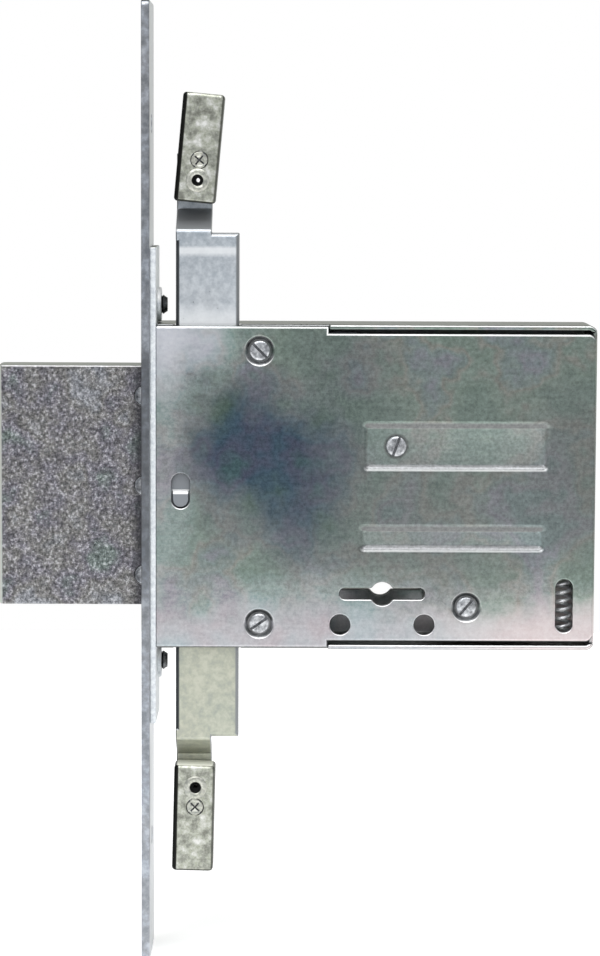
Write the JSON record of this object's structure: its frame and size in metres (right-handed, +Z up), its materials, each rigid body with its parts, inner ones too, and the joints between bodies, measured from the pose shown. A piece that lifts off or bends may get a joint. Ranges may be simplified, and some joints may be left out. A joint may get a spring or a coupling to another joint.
{
  "type": "multipoint mortise lock",
  "caption": "Mortise lock with a wide deadbolt whose carriage also throws an upper and a lower rod slide; folded sheet case, long forend and double-bit keyhole.",
  "frame": {"origin": "centre of the forend's back face, which seats on the door, midway between the two door screws", "axes": "+X into the door, from the forend towards the case's rear wall; -Y out of the cover; +Z up along the forend"},
  "size_m": [0.149, 0.024, 0.24],
  "materials": {
    "zinc_sheet": "bright zinc plate on folded sheet, with a faint iridescent film",
    "zinc_plate": "zinc-plated flat steel bar",
    "bolt_steel": "dark grey, coarse and speckled",
    "slide_steel": "light zinc plate, slightly yellow or blue",
    "connector_zinc": "plated casting, slightly mottled",
    "fastener_steel": "turned steel, plated",
    "lever_steel": "blanked spring-steel sheet",
    "spring_steel": "drawn spring wire and strip"
  },
  "bodies": {
    "case": {"forend": "zinc_plate", "mounting_plate": "zinc_plate", "forend_screws": "fastener_steel", "case_tray": "zinc_sheet", "case_cover": "zinc_sheet", "bolt_guide_posts": "fastener_steel", "carriage_guide_post": "fastener_steel", "lever_pivot_post": "fastener_steel", "cover_screws": "fastener_steel", "lever_spacers": "fastener_steel", "spring_anchor": "fastener_steel", "lever_springs": "spring_steel", "catch_spring": "spring_steel"},
    "bolt": {"deadbolt_block": "bolt_steel", "bolt_rivets": "fastener_steel", "bolt_carriage": "zinc_plate", "bolt_stump": "fastener_steel"},
    "upper_rod_slide": {"upper_slide": "slide_steel", "upper_slide_pin": "fastener_steel", "upper_connector_rivet": "fastener_steel"},
    "lower_rod_slide": {"lower_slide": "slide_steel", "lower_slide_pin": "fastener_steel", "lower_connector_rivet": "fastener_steel"},
    "upper_link": {"upper_connector": "connector_zinc", "upper_clamp_screw": "fastener_steel"},
    "lower_link": {"lower_connector": "connector_zinc", "lower_clamp_screw": "fastener_steel"},
    "catch_lever": {"catch_lever": "lever_steel"},
    "lever_1": {"lever_1": "lever_steel"},
    "lever_2": {"lever_2": "lever_steel"},
    "lever_3": {"lever_3": "lever_steel"},
    "lever_4": {"lever_4": "lever_steel"},
    "lever_5": {"lever_5": "lever_steel"}
  },
  "joints": [
    {"name": "bolt_throw", "type": "slide", "parent": "case", "child": "bolt", "axis": [1, 0, 0], "range_m": [0, 0.036]},
    {"name": "upper_rod_throw", "type": "slide", "parent": "case", "child": "upper_rod_slide", "axis": [0, 0, -1], "range_m": [0, 0.018]},
    {"name": "lower_rod_throw", "type": "slide", "parent": "case", "child": "lower_rod_slide", "axis": [0, 0, 1], "range_m": [0, 0.018]},
    {"name": "upper_link_swing", "type": "hinge", "parent": "upper_rod_slide", "child": "upper_link", "pos_m": [0.0117, -0.0048, 0.076], "axis": [0, 1, 0], "range_deg": [-10.9, 0.5]},
    {"name": "lower_link_swing", "type": "hinge", "parent": "lower_rod_slide", "child": "lower_link", "pos_m": [0.0113, -0.0048, -0.076], "axis": [0, 1, 0], "range_deg": [-7, 4.4]},
    {"name": "catch_lever_lift", "type": "hinge", "parent": "case", "child": "catch_lever", "pos_m": [0.0789, 0, -0.0298], "axis": [0, 1, 0], "range_deg": [0, 3], "stiffness_Nm_per_rad": 0.05, "springref_deg": -11.46, "deforming": ["catch_spring", "lever_springs"]},
    {"name": "lever_1_lift", "type": "hinge", "parent": "case", "child": "lever_1", "pos_m": [0.0789, 0, -0.0298], "axis": [0, 1, 0], "range_deg": [0, 2.55], "stiffness_Nm_per_rad": 0.05, "springref_deg": -11.46, "deforming": ["lever_springs"]},
    {"name": "lever_2_lift", "type": "hinge", "parent": "case", "child": "lever_2", "pos_m": [0.0789, 0, -0.0298], "axis": [0, 1, 0], "range_deg": [0, 2.1], "stiffness_Nm_per_rad": 0.05, "springref_deg": -11.46, "deforming": ["lever_springs"]},
    {"name": "lever_3_lift", "type": "hinge", "parent": "case", "child": "lever_3", "pos_m": [0.0789, 0, -0.0298], "axis": [0, 1, 0], "range_deg": [0, 2.85], "stiffness_Nm_per_rad": 0.05, "springref_deg": -11.46, "deforming": ["lever_springs"]},
    {"name": "lever_4_lift", "type": "hinge", "parent": "case", "child": "lever_4", "pos_m": [0.0789, 0, -0.0298], "axis": [0, 1, 0], "range_deg": [0, 1.8], "stiffness_Nm_per_rad": 0.05, "springref_deg": -11.46, "deforming": ["lever_springs"]},
    {"name": "lever_5_lift", "type": "hinge", "parent": "case", "child": "lever_5", "pos_m": [0.0789, 0, -0.0298], "axis": [0, 1, 0], "range_deg": [0, 2.4], "stiffness_Nm_per_rad": 0.05, "springref_deg": -11.46, "deforming": ["lever_springs"]}
  ],
  "couplings": [
    {"joint": "upper_rod_throw", "follows": "bolt_throw", "ratio": 0.5},
    {"joint": "lower_rod_throw", "follows": "bolt_throw", "ratio": 0.5},
    {"joint": "lever_1_lift", "follows": "catch_lever_lift", "ratio": 0.85},
    {"joint": "lever_2_lift", "follows": "catch_lever_lift", "ratio": 0.7},
    {"joint": "lever_3_lift", "follows": "catch_lever_lift", "ratio": 0.95},
    {"joint": "lever_4_lift", "follows": "catch_lever_lift", "ratio": 0.6},
    {"joint": "lever_5_lift", "follows": "catch_lever_lift", "ratio": 0.8}
  ]
}
